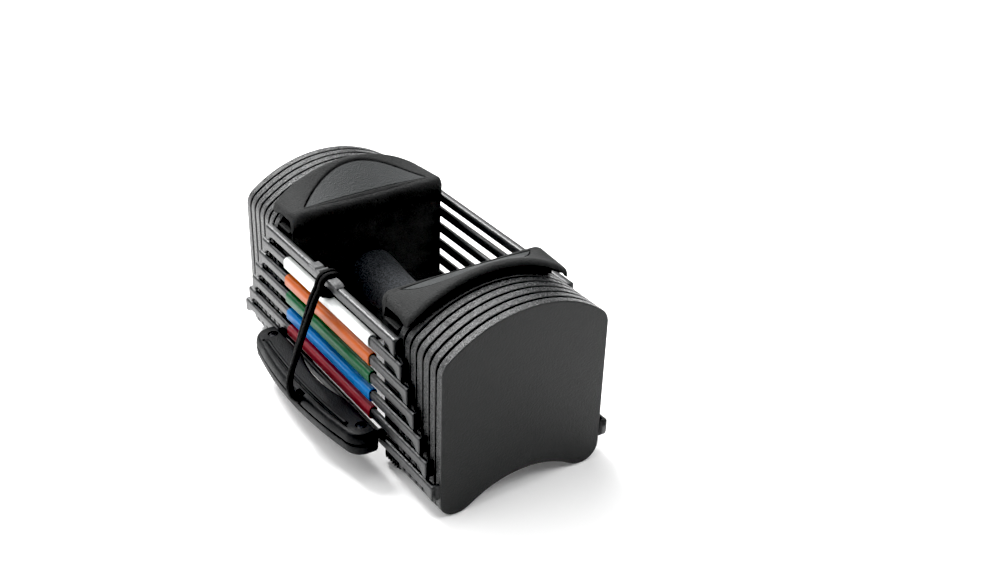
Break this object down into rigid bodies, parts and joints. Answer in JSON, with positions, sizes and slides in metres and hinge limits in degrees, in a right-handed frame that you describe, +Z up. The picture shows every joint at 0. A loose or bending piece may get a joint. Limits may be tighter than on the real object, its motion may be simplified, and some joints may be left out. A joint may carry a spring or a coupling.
{
  "type": "adjustable dumbbell",
  "caption": "Block-shaped adjustable dumbbell: a handle core inside nested weight pairs, colour-banded side rails, and a tethered selector pin that picks how many lift.",
  "frame": {"origin": "on the surface it stands on, below the centre of its box (measured without the cord)", "axes": "+Z up; Y along the handle; X across, with the pin's handle on the -X side"},
  "size_m": [0.1661, 0.254, 0.1386],
  "materials": {
    "plate_coat": "dark grey powder coat, fine texture",
    "rail_coat": "dark grey powder coat",
    "band_white": "white, satin",
    "band_orange": "orange, satin",
    "band_green": "green, satin",
    "band_blue": "blue, satin",
    "band_red": "dark red, satin",
    "core_black": "black, fine grain",
    "badge_grey": "charcoal, coarse grain",
    "grip_foam": "black foam rubber",
    "steel": "bare steel",
    "pin_black": "black, satin",
    "cord_black": "black braid over elastic"
  },
  "bodies": {
    "weight_1": {"weight_1_plate_near": "plate_coat", "weight_1_plate_far": "plate_coat", "weight_1_rail_left": "rail_coat", "weight_1_rail_right": "rail_coat", "tether_lug_near": "rail_coat", "tether_lug_far": "rail_coat"},
    "weight_2": {"weight_2_plate_near": "plate_coat", "weight_2_plate_far": "plate_coat", "weight_2_rail_left": "rail_coat", "weight_2_rail_right": "rail_coat", "band_2": "band_white"},
    "weight_3": {"weight_3_plate_near": "plate_coat", "weight_3_plate_far": "plate_coat", "weight_3_rail_left": "rail_coat", "weight_3_rail_right": "rail_coat", "band_3": "band_orange"},
    "weight_4": {"weight_4_plate_near": "plate_coat", "weight_4_plate_far": "plate_coat", "weight_4_rail_left": "rail_coat", "weight_4_rail_right": "rail_coat", "band_4": "band_green"},
    "weight_5": {"weight_5_plate_near": "plate_coat", "weight_5_plate_far": "plate_coat", "weight_5_rail_left": "rail_coat", "weight_5_rail_right": "rail_coat", "band_5": "band_blue"},
    "weight_6": {"weight_6_plate_near": "plate_coat", "weight_6_plate_far": "plate_coat", "weight_6_rail_left": "rail_coat", "weight_6_rail_right": "rail_coat", "band_6": "band_red"},
    "weight_7": {"weight_7_plate_near": "plate_coat", "weight_7_plate_far": "plate_coat", "weight_7_rail_left": "rail_coat", "weight_7_rail_right": "rail_coat"},
    "core": {"housing_near": "core_black", "housing_far": "core_black", "cap_near": "core_black", "cap_far": "core_black", "badge_near": "badge_grey", "badge_far": "badge_grey", "handle_tube": "steel", "grip": "grip_foam", "handle_bolt_near": "steel", "handle_bolt_far": "steel"},
    "pin": {"pin_fork": "steel", "pin_shell_upper": "pin_black", "pin_shell_lower": "pin_black", "pin_screw_near": "steel", "pin_screw_far": "steel", "tether_cord": "cord_black"}
  },
  "joints": [
    {"name": "core_lift", "type": "slide", "parent": "weight_7", "child": "core", "axis": [0, 0, 1], "range_m": [0, 0.15]},
    {"name": "weight_1_lift", "type": "slide", "parent": "weight_7", "child": "weight_1", "axis": [0, 0, 1], "range_m": [0, 0.15]},
    {"name": "weight_2_lift", "type": "slide", "parent": "weight_7", "child": "weight_2", "axis": [0, 0, 1], "range_m": [0, 0.15]},
    {"name": "weight_3_lift", "type": "slide", "parent": "weight_7", "child": "weight_3", "axis": [0, 0, 1], "range_m": [0, 0.15]},
    {"name": "weight_4_lift", "type": "slide", "parent": "weight_7", "child": "weight_4", "axis": [0, 0, 1], "range_m": [0, 0.15]},
    {"name": "weight_5_lift", "type": "slide", "parent": "weight_7", "child": "weight_5", "axis": [0, 0, 1], "range_m": [0, 0.15]},
    {"name": "weight_6_lift", "type": "slide", "parent": "weight_7", "child": "weight_6", "axis": [0, 0, 1], "range_m": [0, 0.15]},
    {"name": "pin_pull", "type": "slide", "parent": "weight_1", "child": "pin", "axis": [-1, 0, 0], "range_m": [0, 0.14], "deforming": ["tether_cord"]}
  ],
  "couplings": [
    {"joint": "weight_1_lift", "follows": "core_lift", "ratio": 1},
    {"joint": "weight_2_lift", "follows": "core_lift", "ratio": 1},
    {"joint": "weight_3_lift", "follows": "core_lift", "ratio": 1},
    {"joint": "weight_4_lift", "follows": "core_lift", "ratio": 1},
    {"joint": "weight_5_lift", "follows": "core_lift", "ratio": 1},
    {"joint": "weight_6_lift", "follows": "core_lift", "ratio": 1}
  ]
}
